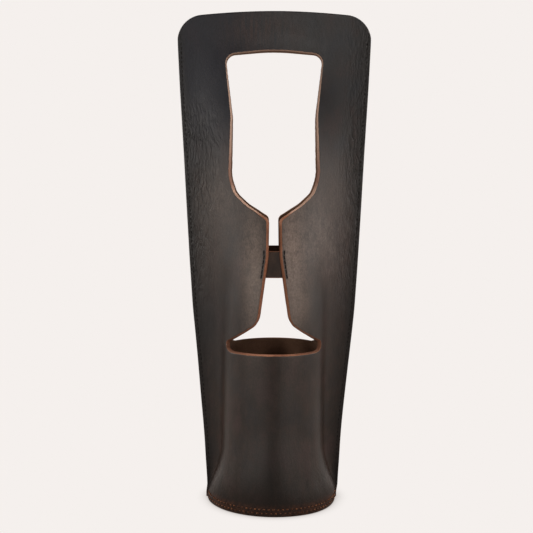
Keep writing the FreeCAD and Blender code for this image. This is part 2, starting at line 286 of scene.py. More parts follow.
# Creases: height, where they come in, heights where they fade out on each side, and cells of two layers
CREASE_HEIGHT, CREASE_SIDES, CREASE_LEVELS = 0.018, (34, 52), (90, 150)
LEFT_FADE, RIGHT_FADE = ((325,), (285,)), ((372,), (330,))
UPRIGHT_CELL, SLANT_CELL, SLANT, SLANT_PART = (2.6, 16), (5.5, 13), 0.3, 0.6

# Groove under the seam stitches: depth, width and the heights where it begins and ends
GROOVE_DEPTH, GROOVE_WIDE, GROOVE_FOOT, GROOVE_HEAD = 0.22, 0.8, (26, 30), (360, 356)


def field(q, z, wide, tall, seed):
    """Smooth random height over the sheet, with cells of a given width and height."""
    return np.array([noise.noise((a / wide, b / tall, seed)) for a, b in zip(q, z)])


def sway(q, z, seed):
    """Soft swell of the whole sheet, outward, in millimetres; none at the seams and the base."""
    held = ramp(np.abs(q), *SEAM_HOLD) * ramp(z, *BASE_HOLD)
    waves = sum(height * field(q, z, wide, tall, seed + more) for height, wide, tall, more in SWELLS)
    bulge = np.exp(-((np.abs(q) - BULGE_Q) / BULGE_WIDE) ** 2 - ((z - BULGE_Z) / BULGE_TALL) ** 2)
    return held * waves + BULGE * bulge


def creases(q, z, seed):
    """Fine upright creases near the sides of the upper wall and a groove under the seam stitches."""
    fade = np.where(q < 0, LEFT_FADE, RIGHT_FADE)
    zone = ramp(np.abs(q), *CREASE_SIDES) * ramp(z, *CREASE_LEVELS) * ramp(z, *fade)
    upright = field(q, z, *UPRIGHT_CELL, seed + 21)
    slanted = field(q + SLANT * z, z, *SLANT_CELL, seed + 33)
    edge = HALF * (1 - SEAM_INSET / sheet_length(z))
    groove = np.exp(-((np.abs(q) - edge) / GROOVE_WIDE) ** 2)
    groove = groove * ramp(z, *GROOVE_FOOT) * ramp(z, *GROOVE_HEAD)
    return CREASE_HEIGHT * zone * (upright + SLANT_PART * slanted) - GROOVE_DEPTH * groove


# Surfaces of a leather piece, in the order of its finishes
GRAIN_SIDE, FLESH_SIDE, CUT_EDGE, RUBBED_EDGE = range(4)

# Spacing of a sheet's points, rows kept along its edges, and the room round the edges and those rows
STEP = 1.3
EDGE_INSETS = (0.8, 1.7, 2.7)
EDGE_CLEAR, GRID_CLEAR = 0.6, 3.4

# How even two triangles have to be to make one face, and steps between the grain of one piece and the next
JOIN_FLAT, JOIN_SHAPE = 0.3, 0.7
BACK_SHIFT, SEED_SHIFT = 0.5, 0.05


def flat_sheet(edges):
    """Points and triangles of a sheet laid flat: the points of its outlines first, then those between."""
    loops = [rows[0][0] for rows, _, _ in edges]
    nearby = []
    for (_, side, _), loop in zip(edges, loops):
        normals = inward_normals(loop, side)
        for order, inset in enumerate(EDGE_INSETS):
            nearby.append((loop + normals * inset)[::2 if order else 1])
    rim = np.concatenate(loops)
    tree = kdtree.KDTree(len(rim))
    for index, (a, b) in enumerate(rim):
        tree.insert((a, b, 0), index)
    tree.balance()

    def away(points):
        return np.array([tree.find((a, b, 0))[2] for a, b in points])

    low, high = loops[0].min(axis=0), loops[0].max(axis=0)
    columns, lines = (np.linspace(a, b, round((b - a) / STEP) + 1) for a, b in zip(low, high))
    grid = np.stack(np.meshgrid(columns, lines), axis=-1).reshape(-1, 2)
    near = np.concatenate(nearby)
    between = np.concatenate((near[away(near) > EDGE_CLEAR], grid[away(grid) > GRID_CLEAR]))
    flat = np.concatenate((rim, between[on_sheet(between, loops)]))
    bounds, start = [], 0
    for loop in loops:
        bounds += [(start + k, start + (k + 1) % len(loop)) for k in range(len(loop))]
        start += len(loop)
    found = geometry.delaunay_2d_cdt([Vector(p) for p in flat], bounds, [], 0, 1e-7)
    assert len(found[0]) == len(flat)
    triangles = np.array(found[2])
    return flat, triangles[on_sheet(flat[triangles].mean(axis=1), loops)]


def edge_faces(rings, slot):
    """Faces between the rings of an edge and their surfaces; a rubbed edge starts on the grain side."""
    faces, slots = [], []
    count = len(rings[0])
    for step, (upper, lower) in enumerate(zip(rings, rings[1:])):
        for k in range(count):
            after = (k + 1) % count
            faces.append((upper[k], upper[after], lower[after], lower[k]))
            slots.append(slot if step or slot == CUT_EDGE else GRAIN_SIDE)
    return faces, slots


def sheet_mesh(name, verts, faces, slots, where):
    """Mesh of a sheet that keeps each point's place on the flat leather, with most triangles joined."""
    mesh = bpy.data.meshes.new(name)
    mesh.from_pydata(verts.tolist(), [], [tuple(int(i) for i in f) for f in faces])
    mesh.polygons.foreach_set("material_index", slots)
    layer = mesh.uv_layers.new(name="sheet")
    foot_end_shade = np.zeros(len(mesh.loops), np.int32)
    mesh.loops.foreach_get("vertex_index", foot_end_shade)
    layer.data.foreach_set("uv", where[foot_end_shade].astype(np.float32).ravel())
    work = bmesh.new()
    work.from_mesh(mesh)
    bmesh.ops.recalc_face_normals(work, faces=work.faces)
    broad = [f for f in work.faces if len(f.verts) == 3]
    bmesh.ops.join_triangles(work, faces=broad, cmp_uvs=False, cmp_materials=True,
                             angle_face_threshold=JOIN_FLAT, angle_shape_threshold=JOIN_SHAPE)
    work.to_mesh(mesh)
    work.free()
    mesh.polygons.foreach_set("use_smooth", [True] * len(mesh.polygons))
    return mesh


def sheet_piece(name, edges, skins, facing, seed, finish, relief):
    """Closed leather sheet over the wall.

    edges lists (rows, side, slot): the rows of an edge from the outer face to the inner one, each as
    (outline, depth share). skins are the depths of the two faces below the panel's outer face.
    """
    outer_skin, inner_skin = skins
    thick = inner_skin - outer_skin
    flat, triangles = flat_sheet(edges)

    def places(points, skin, grain):
        q, z = points[:, 0], points[:, 1]
        lift = relief(q, z, seed) if relief else 0
        if grain:
            lift = lift + creases(q, z, seed)
        spot = wall_point(q, z, skin - lift)
        spot[:, 1] *= -facing
        return spot * MM

    back = flat.copy()
    start = 0
    for rows, _, _ in edges:
        last, _ = rows[-1]
        back[start:start + len(last)] = last
        start += len(last)
    verts = [places(flat, outer_skin, relief is not None), places(back, inner_skin, False)]
    sheet = [flat, back]
    faces = [tuple(t) for t in triangles] + [tuple(t + len(flat)) for t in triangles]
    slots = [GRAIN_SIDE] * len(triangles) + [FLESH_SIDE] * len(triangles)
    total, start = 2 * len(flat), 0
    for rows, _, slot in edges:
        count = len(rows[0][0])
        rings = [start + np.arange(count)]
        for line, share in rows[1:-1]:
            depth = outer_skin + np.asarray(share) * thick
            verts.append(places(line, depth, False))
            sheet.append(line)
            rings.append(total + np.arange(count))
            total += count
        rings.append(len(flat) + start + np.arange(count))
        added, surfaces = edge_faces(rings, slot)
        faces += added
        slots += surfaces
        start += count
    where = np.concatenate(sheet) * MM + (BACK_SHIFT * (facing > 0) + SEED_SHIFT * seed, 0)
    mesh = sheet_mesh(name, np.concatenate(verts), faces, slots, where)
    for layer_finish in finish:
        mesh.materials.append(layer_finish)
    return placed(bpy.data.objects.new(name, mesh))


def placed(obj):
    """Object linked to the scene and riding on the one body."""
    bpy.context.scene.collection.objects.link(obj)
    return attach(obj, "root")


# Finishes, in metres and in linear colours


def material(name):
    """New material, its tree and its surface shader."""
    made = bpy.data.materials.new(name)
    made.use_nodes = True
    return made, made.node_tree, made.node_tree.nodes["Principled BSDF"]


def is_socket(value):
    """Whether a value comes out of another node."""
    return isinstance(value, bpy.types.NodeSocket)


def fed(made, inputs):
    """Node with its inputs set to numbers and colours or linked to sockets."""
    for key, value in inputs.items():
        if is_socket(value):
            made.id_data.links.new(value, made.inputs[key])
        else:
            made.inputs[key].default_value = value
    return made


def node(tree, kind, inputs=None, **settings):
    """New shader node with its settings and inputs."""
    made = tree.nodes.new("ShaderNode" + kind)
    for key, value in settings.items():
        setattr(made, key, value)
    return fed(made, inputs or {})


def surface_places(tree):
    """Place on the flat sheet, place on the carrier, and the three axes of the latter."""
    places = node(tree, "TexCoord").outputs
    axes = node(tree, "SeparateXYZ", {"Vector": places["Object"]}).outputs
    return places["UV"], places["Object"], axes["X"], axes["Y"], axes["Z"]


def noise_at(where, size, scale=(1, 1, 1), detail=3.0, roughness=0.55, distortion=0.0):
    """Noise with cells of about a size in metres, stretched by scale."""
    scaled = node(where.id_data, "Mapping", {"Vector": where, "Scale": scale})
    return node(where.id_data, "TexNoise", {
        "Vector": scaled.outputs["Vector"], "Scale": 1 / size, "Detail": detail,
        "Roughness": roughness, "Distortion": distortion}).outputs["Fac"]


def spread(value, low, high, out_low=0.0, out_high=1.0):
    """Value mapped smoothly from one range to another."""
    return node(value.id_data, "MapRange", {
        "Value": value, "From Min": low, "From Max": high, "To Min": out_low, "To Max": out_high},
        interpolation_type="SMOOTHSTEP").outputs["Result"]


def maths(operation, first, second=0.0):
    """One sum, difference or other operation on sockets and numbers."""
    tree = (first if is_socket(first) else second).id_data
    return node(tree, "Math", {0: first, 1: second}, operation=operation).outputs[0]


def times(product, *factors):
    """Product of sockets and numbers."""
    for factor in factors:
        product = maths("MULTIPLY", product, factor)
    return product


def mixed(share, first, second):
    """Colour mix of two colours or sockets."""
    first, second = (value if is_socket(value) else (*value, 1) for value in (first, second))
    made = node(share.id_data, "Mix", {"Factor": share, 6: first, 7: second}, data_type="RGBA")
    return made.outputs[2]


def bell_at(across_it, up, middle, wide, level, tall):
    """Soft round patch, 1 in its middle, over two coordinates."""
    terms = []
    for value, centre, reach in ((across_it, middle, wide), (up, level, tall)):
        offset = maths("DIVIDE", maths("SUBTRACT", value, centre), reach)
        terms.append(times(offset, offset))
    return maths("EXPONENT", times(maths("ADD", *terms), -1.0))


def bumped(shader, layers):
    """Bump layers (height, strength, distance) one over the other on a shader."""
    normal = None
    for height, strength, distance in layers:
        inputs = {"Height": height, "Strength": strength, "Distance": distance}
        if normal is not None:
            inputs["Normal"] = normal
        normal = node(shader.id_data, "Bump", inputs).outputs["Normal"]
    fed(shader, {"Normal": normal})


def coated(shader, tone, roughness, specular):
    """Colour, roughness and strength of reflection of a shader."""
    fed(shader, {"Base Color": tone, "Roughness": roughness, "Specular IOR Level": specular})


# Tones of the grain side
UMBER, COCOA = (0.0205, 0.0132, 0.0098), (0.0310, 0.0205, 0.0152)
RUST = (0.046, 0.0215, 0.0145)
STREAK_DARK = (0.0140, 0.0092, 0.0072)
# Painted cool reflection, slate towards the top
SLATE_REFLECTION = (0.0198, 0.0184, 0.0212)
WARM = (0.041, 0.0215, 0.0185)
# Cool tint at random, and a painted cool reflection higher up
BLUE_GREY_REFLECTION = (0.0150, 0.0172, 0.0225)
# Painted bluish shade on the front's upper left
BLUISH_SHADE = (0.0150, 0.0172, 0.0292)
RUDDY = (0.058, 0.031, 0.025)
# Painted shade at the foot
FOOT_SHADE = (0.012, 0.0080, 0.0062)
BAND_DARK, BAND_LIGHT = (0.026, 0.0125, 0.0085), (0.070, 0.028, 0.015)
# Paler where the leather swells: stretched leather and a painted highlight
SWELL_STRETCH_SHEEN = (0.078, 0.061, 0.050)
# Paler beside the slit: stretched leather and a painted highlight
STRETCHED_HIGHLIT = (0.222, 0.164, 0.132)
BLOTCH_DARK = (0.026, 0.0200, 0.0175)
SCUFF_PALE = (0.140, 0.110, 0.094)
# Painted shade in the creases
CREASE_SHADE = (0.009, 0.0068, 0.0058)
# Darker at the seams: dark dye and painted shade
SEAM_DYE_AND_SHADE = (0.006, 0.0045, 0.004)
PORE_DARK = (0.010, 0.0072, 0.0056)
# Painted shade of the stitch groove beside the slit
GROOVE_SHADE = (0.008, 0.0060, 0.0052)

# Soft patches of the grain side: middle across, width, middle height, tallness
# Painted bluish shade on the upper left of the front
BLUISH_SHADE_PATCH = (-0.055, 0.040, 0.332, 0.080)
HANDLE_PATCH = (-0.012, 0.022, 0.364, 0.015)
SWELL_PATCH = (0.034, 0.024, 0.208, 0.045)
BLOTCH_PATCH = (0.030, 0.030, 0.205, 0.060)
SCUFF_PATCH = (0.040, 0.015, 0.206, 0.024)
MATT_PATCH = (0.034, 0.016, 0.194, 0.042)
DULL_PATCH = (0.046, 0.026, 0.302, 0.034)

# Painted highlights and painted shade where the light falls, the paler ones beside the slit also stretched
# leather: the same four, then share and colour
LIGHT_AND_SHADE_PATCHES = (
    (0.050, 0.017, 0.205, 0.055, 0.65, (0.078, 0.051, 0.045)),
    (-0.050, 0.014, 0.200, 0.050, 0.50, (0.070, 0.052, 0.043)),
    (0.045, 0.024, 0.240, 0.020, 0.60, (0.085, 0.063, 0.053)),
    (0.032, 0.014, 0.207, 0.025, 0.75, (0.135, 0.101, 0.087)),
    (-0.043, 0.022, 0.236, 0.026, 0.80, (0.102, 0.078, 0.065)),
    (-0.004, 0.016, 0.030, 0.024, 0.60, (0.008, 0.0055, 0.0045)),
    (-0.050, 0.013, 0.142, 0.028, 0.70, (0.012, 0.0130, 0.0155)),
    (0.032, 0.009, 0.150, 0.026, 0.55, (0.014, 0.0115, 0.0110)),
    (-0.032, 0.006, 0.145, 0.024, 0.35, (0.014, 0.0115, 0.0110)),
    (0.022, 0.020, 0.363, 0.020, 0.35, (0.013, 0.0115, 0.011)),
    (0.040, 0.014, 0.308, 0.028, 0.55, (0.0105, 0.0115, 0.0145)),
    (-0.0136, 0.0088, 0.182, 0.046, 1.0, STRETCHED_HIGHLIT),
    (0.0122, 0.0095, 0.192, 0.050, 1.0, (0.260, 0.190, 0.156)),
    (0.0190, 0.0080, 0.157, 0.016, 0.5, STRETCHED_HIGHLIT),
)

# Growth of the wall's half width with height, and where the painted shade of the stitch groove beside the
# slit begins and ends
WIDENING = 0.062
LINE_FOOT, LINE_HEAD = (0.1755, 0.1768), (0.1980, 0.1967)


def dye_and_painted_light_tone(sheet, x, y, z, cloud, mottle):
    """Uneven dye: brown and mottled, ruddy at the handle and round the foot; a painted cool reflection
    towards the top, painted bluish shade on the upper left and painted shade at the foot.
    """
    streak = noise_at(sheet, 0.05, (9, 1, 1))
    hue = noise_at(sheet, 0.017, (1.0, 0.6, 1), detail=4, roughness=0.6)
    rib = noise_at(sheet, 0.0022, (1.0, 0.10, 1), roughness=0.6)
    fleck = noise_at(sheet, 0.0028)
    tone = mixed(spread(cloud, 0.32, 0.68), UMBER, COCOA)
    tone = mixed(spread(mottle, 0.42, 0.75, 0, 0.6), tone, RUST)
    tone = mixed(spread(streak, 0.5, 0.72, 0, 0.55), tone, STREAK_DARK)
    # Painted cool reflection: slate grey growing towards the top
    tone = mixed(spread(z, 0.17, 0.34, 0, 0.75), tone, SLATE_REFLECTION)
    tone = mixed(spread(hue, 0.50, 0.68, 0, 0.75), tone, WARM)
    # Cool tint at random over the sheet, stronger higher up as a painted cool reflection
    cool_reflection_share = times(spread(hue, 0.52, 0.34), spread(z, 0.12, 0.24, 0.25, 0.75))
    tone = mixed(cool_reflection_share, tone, BLUE_GREY_REFLECTION)
    # Painted bluish shade on the upper left, on the front panel only
    bluish_shade = times(bell_at(x, z, *BLUISH_SHADE_PATCH), spread(y, 0.003, -0.003, 0, 0.85))
    tone = mixed(bluish_shade, tone, BLUISH_SHADE)
    ruddy = times(bell_at(x, z, *HANDLE_PATCH), spread(rib, 0.36, 0.62, 0, 0.8))
    tone = mixed(ruddy, tone, RUDDY)
    # Painted shade darkening the foot
    tone = mixed(spread(z, 0.045, 0.0, 0, 0.45), tone, FOOT_SHADE)
    band = mixed(spread(fleck, 0.35, 0.65), BAND_DARK, BAND_LIGHT)
    return mixed(spread(z, 0.0105, 0.0065, 0, 0.75), tone, band)


def wear_and_painted_light_tone(sheet, x, z, side, mottle, tone):
    """Tone over the dye: paler where the leather is stretched, with painted highlights and painted shade in
    patches, dark blotches and rubbed scuffs.
    """
    blotch = noise_at(sheet, 0.0046, (1.0, 0.7, 1), detail=4, roughness=0.65)
    scuff = noise_at(sheet, 0.0034, (1.0, 0.22, 1), roughness=0.65, distortion=0.4)
    # Paler on the swell: stretched leather and a painted highlight
    tone = mixed(times(bell_at(side, z, *SWELL_PATCH), 0.15), tone, SWELL_STRETCH_SHEEN)
    # The mottle breaks up the painted highlights and painted shade of the patches below
    worn = spread(mottle, 0.2, 0.6, 0.65, 1.0)
    for *patch, share, colour in LIGHT_AND_SHADE_PATCHES:
        tone = mixed(times(bell_at(x, z, *patch), times(worn, share)), tone, colour)
    blotch = times(bell_at(side, z, *BLOTCH_PATCH), spread(blotch, 0.54, 0.38, 0, 0.42))
    tone = mixed(blotch, tone, BLOTCH_DARK)
    rubbed = times(bell_at(x, z, *SCUFF_PATCH), spread(scuff, 0.46, 0.66, 0, 0.8))
    return mixed(rubbed, tone, SCUFF_PALE)


def crease_depth(sheet, x, z, brink, cloud):
    """Fine upright creases towards the seams, deepest beside the hand hole and fewer on the upper left."""
    tree = sheet.id_data
    drift = node(tree, "TexNoise", {"Vector": sheet, "Scale": 90.0, "Detail": 2.0})
    warp = node(tree, "VectorMath", {0: drift.outputs["Color"], 1: (0.004, 0.004, 0)},
                operation="MULTIPLY").outputs[0]
    bent = node(tree, "VectorMath", {0: sheet, 1: warp}, operation="ADD").outputs[0]
    long = node(tree, "Mapping", {"Vector": bent, "Scale": (340, 98, 1)}).outputs["Vector"]
    cells = node(tree, "TexVoronoi", {"Vector": long, "Scale": 1.0}, feature="DISTANCE_TO_EDGE")
    fold = spread(cells.outputs["Distance"], 0.0, 0.27, 1.0, 0.0)
    wave = noise_at(bent, 0.0022, (1.0, 0.20, 1), roughness=0.6, distortion=0.5)
    crease = maths("ADD", times(fold, 0.6), spread(wave, 0.62, 0.38, 0.0, 0.7))
    narrow = times(spread(x, -0.02, 0.02, 0, 0.010), spread(z, 0.20, 0.27))
    narrow = maths("ADD", narrow, spread(z, 0.27, 0.21, 0, 0.009))
    flank = spread(maths("SUBTRACT", brink, narrow), 0.017, 0.036, 0.10, 1.0)
    crest = spread(x, -0.02, 0.02, 0.08, 0.75)
    rise = times(spread(z, 0.12, 0.275, 0.25, 1.15), spread(z, 0.318, 0.275, crest, 1.0))
    patchy = spread(cloud, 0.35, 0.6, 0.45, 1)
    right = spread(x, 0.03, 0.05, 1, 0.95)
    return times(crease, times(flank, rise, patchy, right))


def groove_shade_line(side, z):
    """Painted shade of the groove pressed into the leather along the stitches beside the slit."""
    flare = maths("MAXIMUM", maths("SUBTRACT", NECK_Z * MM, z), 0.0)
    row = maths("ADD", times(flare, SLIT_FLARE), (NECK_HALF + STRAP_ROW_INSET) * MM)
    off = maths("ABSOLUTE", maths("SUBTRACT", side, row))
    ends = spread(z, *LINE_FOOT), spread(z, *LINE_HEAD, 0, 0.8)
    return times(spread(off, 0.0010, 0.0004), *ends)


def waxed(x, z, side, mottle):
    """Roughness and reflection of the satin wax, duller at the foot, the stretched parts and the right."""
    matt = bell_at(side, z, *MATT_PATCH)
    rough = maths("ADD", spread(mottle, 0.25, 0.75, 0.31, 0.40), times(matt, 0.10))
    right = maths("SUBTRACT", x, times(z, WIDENING))
    polish = times(spread(z, 0.0, 0.05, 0.22, 0.5), spread(right, 0.032, 0.048, 1.0, 0.8))
    dull = times(bell_at(x, z, *DULL_PATCH), 0.3)
    dull = maths("ADD", dull, times(matt, 0.2))
    return rough, times(polish, maths("SUBTRACT", 1.0, dull))


def grain_leather():
    """Waxed chocolate leather: mottled, with pores and upright creases at the sides; painted shade in the
    creases, beside the slit and, over dark dye, at the seams.
    """
    made, tree, shader = material("grain_leather")
    sheet, _, x, y, z = surface_places(tree)
    side = maths("ABSOLUTE", x)
    brink = maths("SUBTRACT", side, times(z, WIDENING))
    cloud = noise_at(sheet, 0.045, detail=4)
    mottle = noise_at(sheet, 0.009, (1.6, 0.8, 1), detail=4, roughness=0.65)
    speck = noise_at(sheet, 0.0013, (1.2, 0.7, 1), roughness=0.7)
    crease = crease_depth(sheet, x, z, brink, cloud)
    tone = dye_and_painted_light_tone(sheet, x, y, z, cloud, mottle)
    tone = wear_and_painted_light_tone(sheet, x, z, side, mottle, tone)
    # Painted shade in the creases
    tone = mixed(times(crease, 0.55), tone, CREASE_SHADE)
    # Darker towards the seams: dark dye and painted shade on the flanges
    tone = mixed(spread(brink, 0.043, 0.052, 0, 0.75), tone, SEAM_DYE_AND_SHADE)
    tone = mixed(spread(speck, 0.35, 0.65, 0.0, 0.38), tone, PORE_DARK)
    # Painted shade of the stitch groove beside the slit
    tone = mixed(groove_shade_line(side, z), tone, GROOVE_SHADE)
    coated(shader, tone, *waxed(x, z, side, mottle))
    pores = node(tree, "TexVoronoi", {"Vector": sheet, "Scale": 850.0, "Randomness": 1.0})
    bumped(shader, (
        (mottle, 0.2, 0.0003),
        (times(crease, -1.0), 0.8, 0.00042),
        (pores.outputs["Distance"], 0.10, 0.00015),
        (speck, 0.4, 0.00017),
    ))
    return made


# Tones of the flesh side, the straps, the cut edges and the rubbed edges
FLESH_DARK, FLESH_LIGHT = (0.110, 0.056, 0.034), (0.150, 0.080, 0.048)
NAP_PALE = (0.20, 0.115, 0.072)
# Painted light on the flesh side near the handle
FLESH_TOP_LIT = (0.34, 0.215, 0.150)
STRAP_DARK, STRAP_LIGHT = (0.030, 0.0165, 0.0105), (0.062, 0.034, 0.022)
STRAP_PORE = (0.020, 0.0115, 0.008)
CUT_DARK, CUT_LIGHT = (0.22, 0.080, 0.040), (0.32, 0.135, 0.075)
CUT_FIBRE = (0.45, 0.225, 0.135)
# Painted light on the cut edge: higher up the cut-out and on the ledge at the foot of the bowl
CUT_BOWL_LIT = (0.32, 0.185, 0.140)
CUT_TOP_LIT = (0.50, 0.335, 0.255)
CUT_LEDGE_LIT = (0.62, 0.40, 0.30)
CUT_PIT = (0.10, 0.042, 0.024)
# Painted shade on the cut edge at the ends of the foot window
CUT_CORNER_SHADE = (0.060, 0.030, 0.020)
RUBBED_DARK, RUBBED_TAN = (0.014, 0.009, 0.0075), (0.17, 0.078, 0.044)
RUBBED_FIBRE = (0.06, 0.03, 0.02)


def flesh_leather():
    """Napped inner side of the leather, left tan, with painted light near the handle."""
    made, tree, shader = material("flesh_leather")
    sheet, _, _, _, z = surface_places(tree)
    nap = noise_at(sheet, 0.0016, detail=5, roughness=0.7)
    cloud = noise_at(sheet, 0.03)
    tone = mixed(spread(cloud, 0.3, 0.7), FLESH_DARK, FLESH_LIGHT)
    tone = mixed(spread(nap, 0.4, 0.7, 0, 0.4), tone, NAP_PALE)
    # Painted light on the flesh side near the handle
    tone = mixed(spread(z, 0.32, 0.345, 0, 0.7), tone, FLESH_TOP_LIT)
    coated(shader, tone, 0.92, 0.2)
    bumped(shader, ((nap, 0.5, 0.0006),))
    return made


def strap_leather():
    """Plainer brown leather of the two small straps."""
    made, tree, shader = material("strap_leather")
    sheet = surface_places(tree)[0]
    cloud = noise_at(sheet, 0.006, (1, 0.4, 1), detail=4, roughness=0.6)
    speck = noise_at(sheet, 0.0012, roughness=0.7)
    tone = mixed(spread(cloud, 0.32, 0.68), STRAP_DARK, STRAP_LIGHT)
    tone = mixed(spread(speck, 0.4, 0.7, 0, 0.4), tone, STRAP_PORE)
    coated(shader, tone, 0.5, 0.35)
    bumped(shader, ((cloud, 0.2, 0.0003), (speck, 0.3, 0.00015)))
    return made


def raw_edge():
    """Cut edge of the leather, russet to peach with fibres across it; painted light higher up the cut-out
    and painted shade at the foot window's ends.
    """
    made, tree, shader = material("raw_edge")
    _, spot, x, _, z = surface_places(tree)
    fibre = noise_at(spot, 0.0009, (1, 1, 0.6), detail=4, roughness=0.7)
    drift = noise_at(spot, 0.02, detail=2)
    tone = mixed(spread(drift, 0.35, 0.65), CUT_DARK, CUT_LIGHT)
    tone = mixed(spread(fibre, 0.42, 0.75, 0, 0.5), tone, CUT_FIBRE)
    # Painted light: the cut edge lighter higher up the cut-out and on the ledge at the bowl's foot
    tone = mixed(spread(z, 0.226, 0.245, 0, 0.7), tone, CUT_BOWL_LIT)
    tone = mixed(spread(z, 0.252, 0.285, 0, 0.8), tone, CUT_TOP_LIT)
    ledge = times(spread(z, 0.2215, 0.2275), spread(z, 0.248, 0.240, 0, 0.8))
    tone = mixed(ledge, tone, CUT_LEDGE_LIT)
    tone = mixed(spread(fibre, 0.45, 0.25, 0, 0.7), tone, CUT_PIT)
    # Painted shade on the cut edge at the ends of the foot window
    outer = spread(maths("ABSOLUTE", x), 0.018, 0.033)
    foot_end_shade = times(outer, spread(z, 0.142, 0.130))
    tone = mixed(times(foot_end_shade, 0.5), tone, CUT_CORNER_SHADE)
    coated(shader, tone, 0.78, 0.3)
    bumped(shader, ((fibre, 0.6, 0.0004),))
    return made


def burnished_edge():
    """Outer edges rubbed dark, with the tan showing where they are worn."""
    made, tree, shader = material("burnished_edge")
    _, spot, _, _, z = surface_places(tree)
    fibre = noise_at(spot, 0.0012, (1, 1, 0.5), detail=4, roughness=0.7)
    drift = noise_at(spot, 0.012, (1, 1, 0.5), detail=4, roughness=0.6)
    worn = times(spread(drift, 0.40, 0.68), spread(z, 0.12, 0.01, 0.15, 0.8))
    tone = mixed(worn, RUBBED_DARK, RUBBED_TAN)
    tone = mixed(spread(fibre, 0.45, 0.75, 0, 0.4), tone, RUBBED_FIBRE)
    coated(shader, tone, 0.6, 0.25)
    bumped(shader, ((fibre, 0.25, 0.0002),))
    return made


def thread(name, dark, light, rough):
    """Waxed twisted thread."""
    made, tree, shader = material(name)
    spot = surface_places(tree)[1]
    fibre = noise_at(spot, 0.0006)
    drift = noise_at(spot, 0.0048, detail=2)
    share = times(spread(fibre, 0.25, 0.65), spread(drift, 0.36, 0.64, 0.12, 1.0))
    coated(shader, mixed(share, dark, light), rough, 0.2)
    bumped(shader, ((fibre, 0.3, 0.0002),))
    return made


FLESH, RAW, BURNISHED = flesh_leather(), raw_edge(), burnished_edge()
LEATHER = (grain_leather(), FLESH, RAW, BURNISHED)
STRAP_LEATHER = (strap_leather(), FLESH, RAW, BURNISHED)
DARK_THREAD = thread("dark_thread", (0.004, 0.0031, 0.0028), (0.012, 0.009, 0.0075), 0.75)
SEAM_THREAD = thread("seam_thread", (0.009, 0.0070, 0.0062), (0.022, 0.0165, 0.0140), 0.75)
COPPER_THREAD = thread("copper_thread", (0.045, 0.018, 0.010), (0.22, 0.086, 0.038), 0.7)

# Panels: spacing of their outlines, and profiles of their edges as inset and depth share
PANEL_STEP, GLASS_STEP = 1.1, 0.9
RIM_PROFILE = ((0.55, 0), (0.25, 0.04), (0.06, 0.14), (0.0, 0.35), (0.0, 0.94), (0.0, 0.985), (0.03, 1.0))
CUT_PROFILE = ((0.0, 0.04), (0.25, 0.17), (0.6, 0.45), (0.9, 0.75), (1.0, 0.92))
CUT_ROUND, CUT_SLOPE, CUT_BACK = 0.2, 0.1, 0.25
FLANGE_GAP = 0.02
FLESH_SKIN = THICK - FLANGE_GAP
PANEL_SEEDS = {FRONT: 3, BACK: 5}

# Width of the cut edge in view: least, and more at the stem, at the foot and as it wavers
EDGE_SEEN, STEM_SEEN, FOOT_SEEN, WAVER = 0.4, 1.5, 0.4, 0.2
WAVER_SIZE = 2.2
STEM_HEAD, STEM_FOOT = (228, 218), (136, 150)


def top_outline():
    """Outline of a panel seen from the front: arched top with round corners."""
    half = WALL[-2, 1]
    corner_x = half - TOP_CORNER
    arch_z = TOP - TOP_ARCH
    corner_z = arch_z + math.sqrt((TOP_ARCH - TOP_CORNER) ** 2 - corner_x ** 2)
    slope = math.atan2(corner_x, corner_z - arch_z)
    right = [(TOP_ARCH * math.sin(a), arch_z + TOP_ARCH * math.cos(a)) for a in np.linspace(0, slope, 60)]
    bends = np.linspace(slope, math.pi / 2, CORNER_POINTS)[1:]
    right += [(corner_x + TOP_CORNER * math.sin(a), corner_z + TOP_CORNER * math.cos(a)) for a in bends]
    return np.array([(-x, z) for x, z in reversed(right)] + right[1:])


def panel_outline():
    """Edge of the flat sheet: straight sides and foot, and the arched top."""
    crest = top_outline()
    crest[:, 0] = np.clip(across(crest[:, 0], crest[:, 1], 0.0), -HALF, HALF)
    sides = np.array(((HALF, 0.0), (-HALF, 0.0)))
    return resampled(np.concatenate((crest, sides)), PANEL_STEP)


def trimmed(outline, side, profile):
    """Rows of an edge from its profile (inset, depth share)."""
    normals = inward_normals(outline, side)
    return [(outline + normals * inset, share) for inset, share in profile]


def band_of(loop):
    """Width of the cut edge in view round the cut-out: widest along the stem, uneven as cut by hand."""
    stem = ramp(loop[:, 1], *STEM_HEAD) * ramp(loop[:, 1], *STEM_FOOT)
    foot = ramp(loop[:, 1], *STEM_FOOT[::-1])
    waver = [noise.noise((a / WAVER_SIZE, b / WAVER_SIZE, 4.0)) for a, b in loop]
    return EDGE_SEEN + STEM_SEEN * stem + FOOT_SEEN * foot + WAVER * np.array(waver)


def glass_rows():
    """Rows of the cut-out's edge, from its outline on the outer face to the one on the inner face."""
    left = [(-x, z, radius) for x, z, radius in reversed(GLASS[1:])]
    opening = resampled(rounded([*GLASS, *left]), GLASS_STEP)
    normals = inward_normals(opening, -1)
    shown = opening + normals * band_of(opening)[:, None]
    rim = shown + normals * CUT_ROUND

    def flat(loop, skin):
        return np.stack((across(loop[:, 0], loop[:, 1], skin), loop[:, 1]), axis=-1)

    outer, inner = flat(shown, 0.0), flat(opening, THICK)
    beyond = np.abs(inner[:, 0]) > np.abs(outer[:, 0]) - CUT_SLOPE
    inner[beyond, 0] = outer[beyond, 0] - np.sign(outer[beyond, 0]) * CUT_SLOPE
    rows = [(flat(rim, 0.0), 0.0)]
    rows += [(outer + (inner - outer) * share, depth) for share, depth in CUT_PROFILE]
    rows.append((inner - (inner - outer) * CUT_BACK, 1.0))
    return rows


